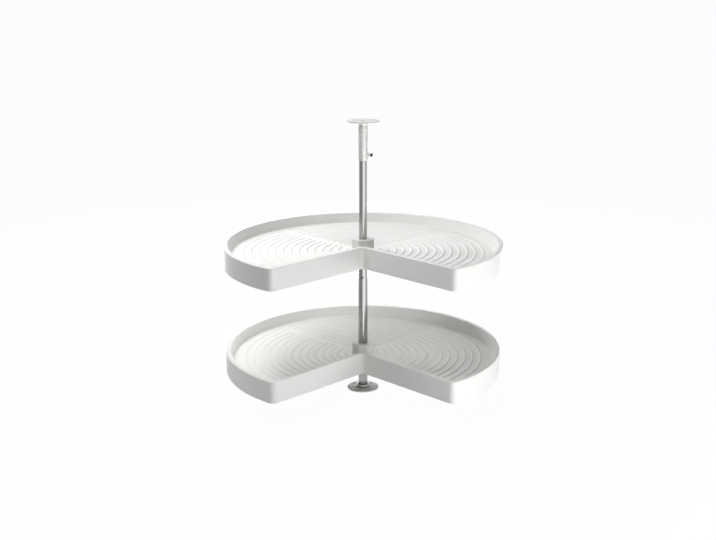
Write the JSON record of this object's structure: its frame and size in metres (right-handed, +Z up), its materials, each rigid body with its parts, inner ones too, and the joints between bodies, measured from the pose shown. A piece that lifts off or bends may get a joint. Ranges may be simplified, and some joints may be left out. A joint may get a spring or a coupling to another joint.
{
  "type": "corner carousel fitting",
  "caption": "Corner cabinet carousel: pie-cut ribbed plastic trays on octagonal hubs that each turn on a telescopic steel pole between round floor and ceiling flanges.",
  "frame": {"origin": "centre of the base flange's flat underside, on the pole's axis, where the fitting stands on the cabinet's bottom panel", "axes": "+Z up along the pole; at rest the notch of both trays faces -Y, towards the cabinet's door corner; +X to the right seen from the front"},
  "size_m": [0.78, 0.6966, 0.772],
  "materials": {
    "tray_plastic": "white moulded polypropylene, fine satin texture",
    "hub_plastic": "white moulded polyamide, satin",
    "bearing_plastic": "natural acetal, smooth",
    "plated_tube": "bright chrome-plated steel tube",
    "satin_tube": "satin nickel-plated steel",
    "pressed_steel": "zinc-plated pressed steel",
    "top_steel": "satin nickel-plated pressed steel",
    "screw_steel": "dark zinc-plated screw steel",
    "black_plastic": "black moulded plastic"
  },
  "bodies": {
    "pole": {"base_flange": "pressed_steel", "base_stud": "pressed_steel", "foot_washer": "bearing_plastic", "foot_plug": "black_plastic", "lower_pole": "plated_tube", "upper_pole": "plated_tube", "pole_lock_screw": "screw_steel", "lower_collar": "pressed_steel", "lower_collar_screw": "screw_steel", "lower_thrust_washer": "bearing_plastic", "upper_thrust_washer": "bearing_plastic"},
    "lower_carousel": {"lower_tray": "tray_plastic", "lower_hub": "hub_plastic", "lower_hub_top_bush": "bearing_plastic", "lower_hub_foot_bush": "bearing_plastic", "lower_hub_screw_1": "screw_steel", "lower_hub_screw_2": "screw_steel", "lower_hub_screw_3": "screw_steel", "lower_hub_screw_4": "screw_steel"},
    "upper_carousel": {"upper_tray": "tray_plastic", "upper_hub": "hub_plastic", "upper_hub_top_bush": "bearing_plastic", "upper_hub_foot_bush": "bearing_plastic", "upper_hub_screw_1": "screw_steel", "upper_hub_screw_2": "screw_steel", "upper_hub_screw_3": "screw_steel", "upper_hub_screw_4": "screw_steel"},
    "head": {"top_sleeve": "satin_tube", "top_neck": "satin_tube", "top_flange": "top_steel", "lock_nut": "satin_tube"},
    "locking_screw": {"lock_screw": "satin_tube", "lock_knob": "black_plastic"}
  },
  "joints": [
    {"name": "lower_tray_turn", "type": "hinge", "parent": "pole", "child": "lower_carousel", "pos_m": [0, 0, 0.1], "axis": [0, 0, 1], "continuous": true},
    {"name": "upper_tray_turn", "type": "hinge", "parent": "pole", "child": "upper_carousel", "pos_m": [0, 0, 0.405], "axis": [0, 0, 1], "continuous": true},
    {"name": "height_adjust", "type": "slide", "parent": "pole", "child": "head", "axis": [0, 0, 1], "range_m": [-0.035, 0.02]},
    {"name": "lock_screw_turn", "type": "hinge", "parent": "head", "child": "locking_screw", "pos_m": [0.0233, 0, 0.6774], "axis": [1, 0, 0], "range_deg": [0, 1350]}
  ]
}
